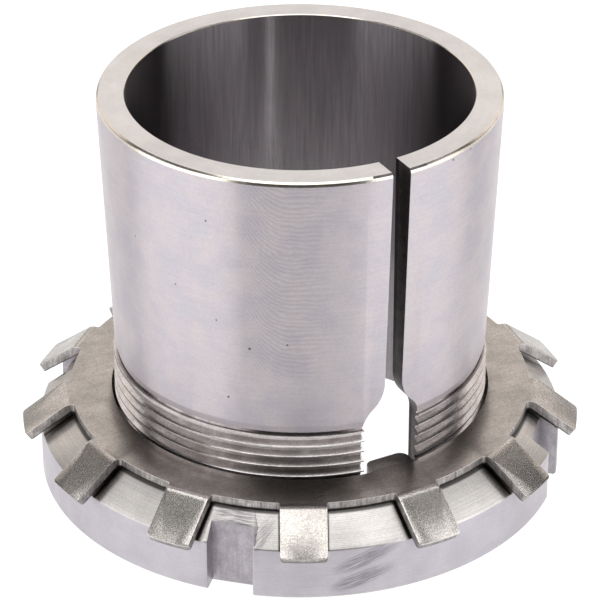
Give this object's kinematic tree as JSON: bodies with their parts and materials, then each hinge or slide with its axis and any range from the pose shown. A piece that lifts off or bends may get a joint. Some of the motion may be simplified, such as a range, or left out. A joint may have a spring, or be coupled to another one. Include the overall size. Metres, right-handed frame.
{
  "type": "adapter sleeve with lock washer and lock nut",
  "caption": "Split taper sleeve with a plain bore, an outside taper and a threaded end that carries a tabbed lock washer and a slotted lock nut.",
  "frame": {"origin": "on the sleeve's axis, in the plane of the nut's outer face, which is level with the sleeve's threaded end", "axes": "+Z along the axis, from the threaded end towards the large end of the taper; -Y through the sleeve's slit and the washer's tang"},
  "size_m": [0.0748, 0.0743, 0.055],
  "materials": {
    "turned_steel": "finely turned and polished bright steel, bare",
    "pressed_steel": "tumbled sheet steel, grey, with bright sheared edges",
    "nut_steel": "turned steel with fine rings on the chamfer, bare"
  },
  "bodies": {
    "sleeve": {"sleeve": "turned_steel"},
    "washer": {"lock_washer": "pressed_steel"},
    "nut": {"lock_nut": "nut_steel"}
  },
  "joints": [
    {"name": "washer_slide", "type": "slide", "parent": "sleeve", "child": "washer", "axis": [0, 0, 1], "range_m": [-0.01051, 0.00601]},
    {"name": "nut_turn", "type": "hinge", "parent": "washer", "child": "nut", "pos_m": [0, 0, 0], "axis": [0, 0, 1], "range_deg": [-2520, 1440]}
  ],
  "couplings": [
    {"joint": "washer_slide", "follows": "nut_turn", "m_per_rad": 0.00023873}
  ]
}
